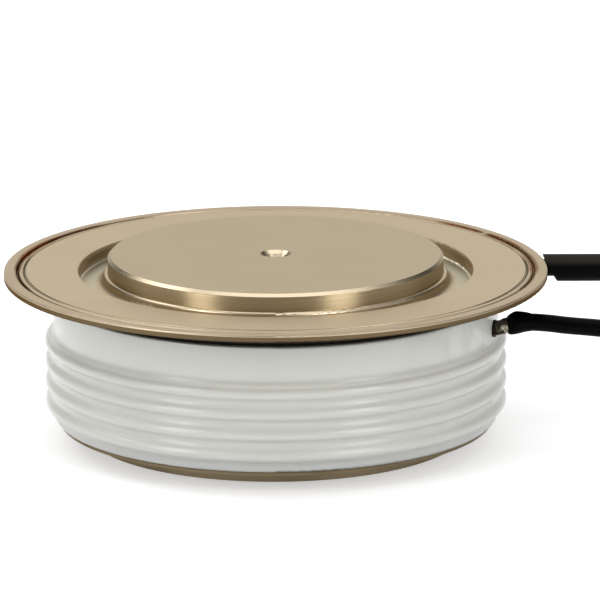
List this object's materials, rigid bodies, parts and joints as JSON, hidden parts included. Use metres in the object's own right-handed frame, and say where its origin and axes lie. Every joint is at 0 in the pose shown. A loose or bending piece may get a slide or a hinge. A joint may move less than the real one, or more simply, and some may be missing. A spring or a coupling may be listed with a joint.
{
  "type": "press-pack thyristor",
  "caption": "Ribbed ceramic disc capsule with a wide welded rim and flat contact faces, with a sleeved gate lead and a sleeved auxiliary cathode lead.",
  "frame": {"origin": "centre of the anode contact face, on the surface the capsule lies on", "axes": "+Z from the anode contact face to the cathode contact face, +X towards the side the leads leave on"},
  "size_m": [0.1822, 0.1162, 0.0347],
  "materials": {
    "ceramic": "glazed",
    "rim_plate": "nickel plated, satin",
    "lid_plate": "nickel plated, satin",
    "pole_plate": "nickel plated copper, fine turned",
    "molybdenum": "lapped",
    "silicon": "lapped",
    "edge_seal": "matte",
    "silver": "satin",
    "fluoropolymer": "matte",
    "spring_wire": "drawn",
    "tube_metal": "brazed, dull",
    "solder": "dull",
    "black_sleeve": "smooth",
    "tinned_copper": "tinned"
  },
  "bodies": {
    "root": {"ceramic_housing": "ceramic", "cathode_weld_flange": "rim_plate", "cathode_lid_flange": "lid_plate", "cathode_pole_piece": "pole_plate", "anode_pole_piece": "pole_plate", "anode_flange": "rim_plate", "anode_molybdenum_disc": "molybdenum", "silicon_wafer": "silicon", "wafer_edge_seal": "edge_seal", "cathode_molybdenum_disc": "molybdenum", "silver_shim": "silver", "locating_ring": "fluoropolymer", "gate_insulator": "fluoropolymer", "gate_spring": "spring_wire", "gate_contact_pin": "silver", "gate_inner_lead": "silver", "gate_tube": "tube_metal", "gate_lead_joint": "solder", "gate_lead_boot": "black_sleeve", "gate_lead": "black_sleeve", "gate_lead_coil": "black_sleeve", "gate_lead_terminal": "tinned_copper", "cathode_lead_tab": "tinned_copper", "cathode_lead_sleeve": "black_sleeve", "cathode_lead": "black_sleeve", "cathode_lead_coil": "black_sleeve", "cathode_lead_terminal": "tinned_copper"}
  },
  "joints": []
}
